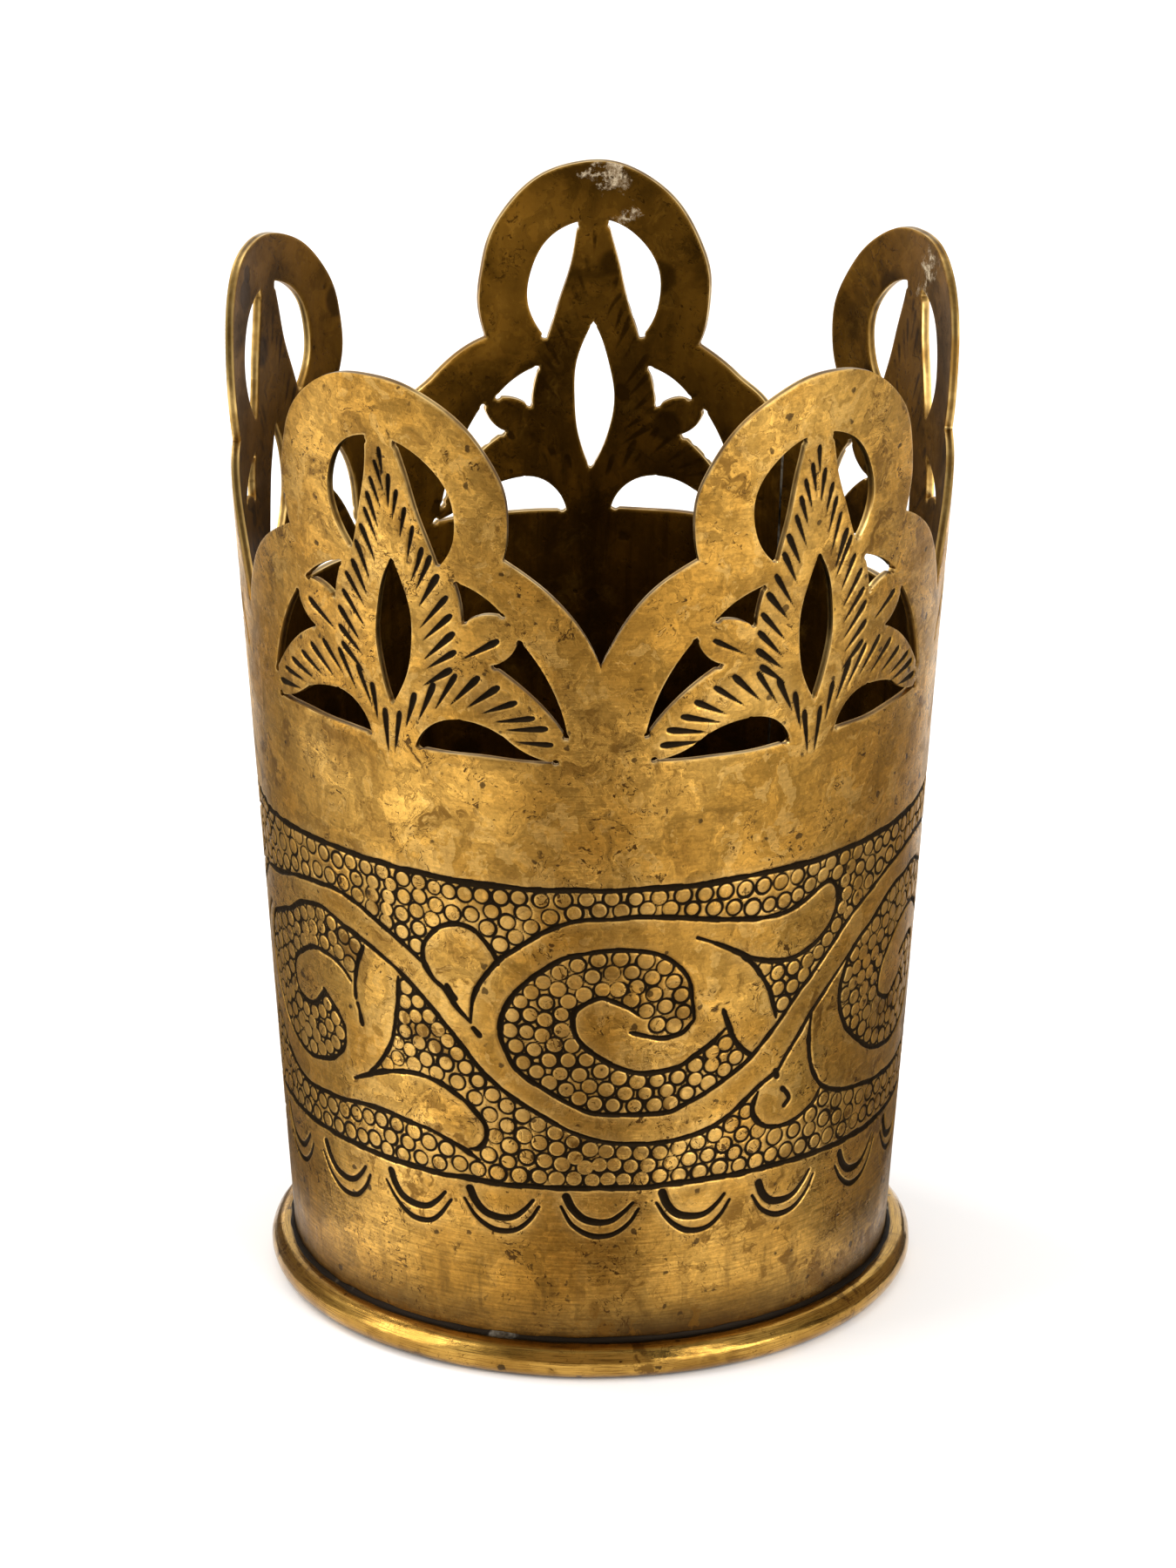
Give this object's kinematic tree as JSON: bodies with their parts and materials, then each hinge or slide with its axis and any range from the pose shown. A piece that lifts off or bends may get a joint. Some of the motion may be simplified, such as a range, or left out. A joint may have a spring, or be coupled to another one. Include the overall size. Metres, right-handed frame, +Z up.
{
  "type": "tea glass holder",
  "caption": "Tapered brass tea glass holder (podstakannik) with a pierced petal crown, a chased scroll frieze and a half-round foot ring; it stands free and holds a tea glass.",
  "frame": {"origin": "centre of the flat underside of the foot, which is where the sleeve's axis meets the table", "axes": "+Z up along the sleeve's axis; the front, where a notch of the crown faces, is -Y; +X is to the viewer's right"},
  "size_m": [0.0738, 0.0727, 0.105],
  "materials": {
    "chased_brass": "aged, hand-rubbed brass with dark patina in the chasing",
    "brazing": "filed brazing filler, slightly paler than the sheet",
    "ring_brass": "rubbed bright brass wire with scratches",
    "plate_brass": "dull brown brass",
    "soft_solder": "dark, dull solder with a few bright spots"
  },
  "bodies": {
    "root": {"sleeve": "chased_brass", "side_seam": "brazing", "foot_ring": "ring_brass", "foot_solder": "soft_solder", "floor_plate": "plate_brass", "floor_solder": "soft_solder"}
  },
  "joints": []
}
